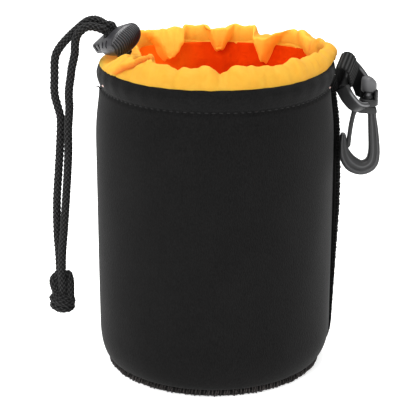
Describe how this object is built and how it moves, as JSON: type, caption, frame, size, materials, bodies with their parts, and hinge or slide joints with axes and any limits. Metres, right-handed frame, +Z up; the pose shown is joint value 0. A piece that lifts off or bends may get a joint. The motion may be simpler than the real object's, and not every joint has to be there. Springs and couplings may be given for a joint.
{
  "type": "lens pouch",
  "caption": "Soft round lens pouch with a gathered drawstring collar, a sprung cord lock on the cord and a swivel snap hook on a side loop.",
  "frame": {"origin": "centre of the underside of the base, on the surface that the pouch stands on", "axes": "+Z up along the pouch's axis, +X towards the side seam and snap hook, -Y towards the front"},
  "size_m": [0.127, 0.09, 0.1355],
  "materials": {
    "neoprene": "matte",
    "orange_nylon": "satin",
    "red_lining": "matte",
    "braid": "matte",
    "tape": "matte",
    "black_plastic": "satin",
    "spring_steel": "satin"
  },
  "bodies": {
    "pouch": {"outer_wall": "neoprene", "base_panel": "neoprene", "base_lining": "red_lining", "wall_lining": "red_lining", "drawstring_collar": "orange_nylon", "drawcord_loop": "braid", "drawcord_tail_front": "braid", "drawcord_tail_rear": "braid", "drawcord_knot": "braid", "webbing_loop": "tape"},
    "cord_lock": {"cord_lock_body": "black_plastic", "cord_lock_spring": "spring_steel"},
    "lock_plunger": {"cord_lock_plunger": "black_plastic"},
    "swivel_eye": {"snap_eye": "black_plastic"},
    "hook": {"snap_hook": "black_plastic"},
    "gate": {"snap_gate": "black_plastic"}
  },
  "joints": [
    {"name": "cord_lock_slide", "type": "slide", "parent": "pouch", "child": "cord_lock", "axis": [-0.5079, -0.153, 0.8478], "range_m": [-0.0005, 0.0013]},
    {"name": "plunger_press", "type": "slide", "parent": "cord_lock", "child": "lock_plunger", "axis": [0.6181, -0.7501, 0.235], "range_m": [0, 0.0022], "stiffness_N_per_m": 900, "springref_m": -0.002, "deforming": ["cord_lock_spring"]},
    {"name": "snap_eye_swing", "type": "hinge", "parent": "pouch", "child": "swivel_eye", "pos_m": [0.0493, -0.004, 0.1136], "axis": [-0.3294, -0.7887, -0.5191], "range_deg": [0, 45]},
    {"name": "snap_hook_swivel", "type": "hinge", "parent": "swivel_eye", "child": "hook", "pos_m": [0.0575, -0.004, 0.1035], "axis": [0, 0, 1], "continuous": true},
    {"name": "snap_gate_hinge", "type": "hinge", "parent": "hook", "child": "gate", "pos_m": [0.0523, -0.004, 0.1006], "axis": [0, -1, 0], "range_deg": [0, 16], "stiffness_Nm_per_rad": 0.05, "springref_deg": -5.73}
  ]
}
